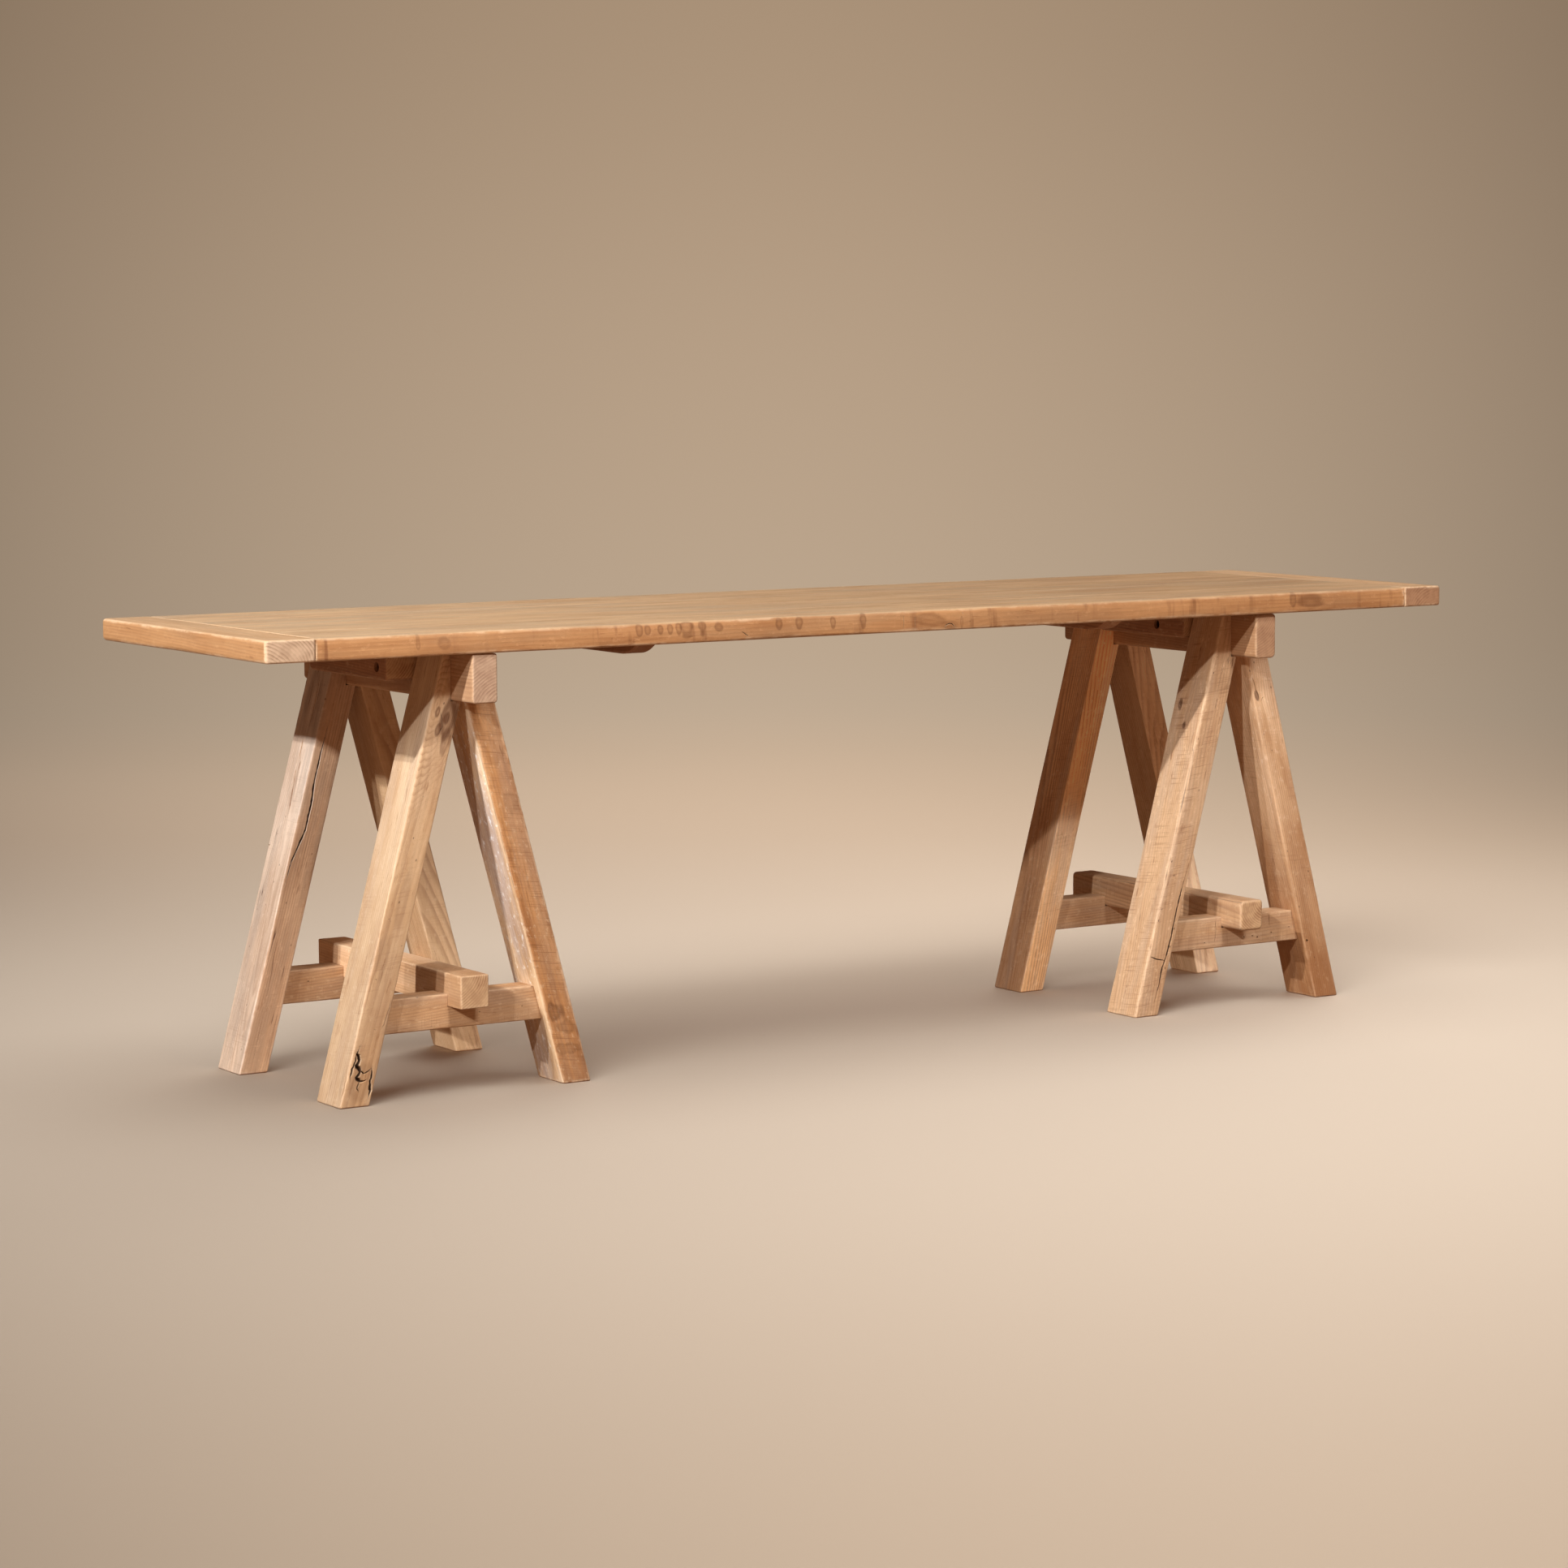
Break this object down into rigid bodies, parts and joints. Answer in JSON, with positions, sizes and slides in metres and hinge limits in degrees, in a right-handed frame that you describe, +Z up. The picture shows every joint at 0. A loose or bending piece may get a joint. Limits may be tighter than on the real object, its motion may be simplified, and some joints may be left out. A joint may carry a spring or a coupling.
{
  "type": "trestle table",
  "caption": "Long plank table top with breadboard ends and cross battens, resting loose on two timber sawhorses with notched legs, cross rails and a stretcher.",
  "frame": {"origin": "on the floor under the middle of the table top", "axes": "+X along the table to the right, +Y from front to back, +Z up"},
  "size_m": [2.44, 0.63, 0.775],
  "materials": {
    "top_planks": "waxed reclaimed pine, worn arrises",
    "breadboards": "waxed reclaimed pine, pale worn end grain",
    "hidden_joinery": "plain sawn hardwood",
    "battens": "planed, darker than the top",
    "cleats": "planed, darker than the top",
    "beams": "planed, rounded arrises, pale end grain",
    "legs_pale": "weathered pinkish grey, open checks",
    "legs_honey": "honey, cracks and worm holes",
    "legs_brown": "brown, cross saw marks",
    "rails": "planed, nail holes",
    "stretchers": "planed, square ends",
    "nails": "dull black iron",
    "screws": "dull zinc"
  },
  "bodies": {
    "sawhorse_left": {"left_beam": "beams", "left_leg_front_left": "legs_honey", "left_leg_front_right": "legs_brown", "left_leg_back_left": "legs_pale", "left_leg_back_right": "legs_honey", "left_rail_front": "rails", "left_rail_back": "rails", "left_stretcher": "stretchers", "left_leg_nails": "nails", "left_rail_nails": "nails", "left_stretcher_screws": "screws"},
    "table_top": {"plank_front": "top_planks", "plank_mid_front": "top_planks", "plank_mid_back": "top_planks", "plank_back": "top_planks", "breadboard_left": "breadboards", "breadboard_right": "breadboards", "plank_splines": "hidden_joinery", "breadboard_pegs": "hidden_joinery", "batten_left": "battens", "batten_right": "battens", "batten_screws": "screws", "cleat_screws": "screws", "cleat_left_outer": "cleats", "cleat_left_inner": "cleats", "cleat_right_inner": "cleats", "cleat_right_outer": "cleats"},
    "sawhorse_right": {"right_beam": "beams", "right_leg_front_left": "legs_honey", "right_leg_front_right": "legs_brown", "right_leg_back_left": "legs_brown", "right_leg_back_right": "legs_honey", "right_rail_front": "rails", "right_rail_back": "rails", "right_stretcher": "stretchers", "right_leg_nails": "nails", "right_rail_nails": "nails", "right_stretcher_screws": "screws"}
  },
  "joints": [
    {"name": "top_lift", "type": "slide", "parent": "sawhorse_left", "child": "table_top", "axis": [0, 0, 1], "range_m": [0, 0.06]},
    {"name": "right_sawhorse_stays", "type": "slide", "parent": "table_top", "child": "sawhorse_right", "axis": [0, 0, -1], "range_m": [0, 0.06]}
  ],
  "couplings": [
    {"joint": "right_sawhorse_stays", "follows": "top_lift", "ratio": 1}
  ]
}
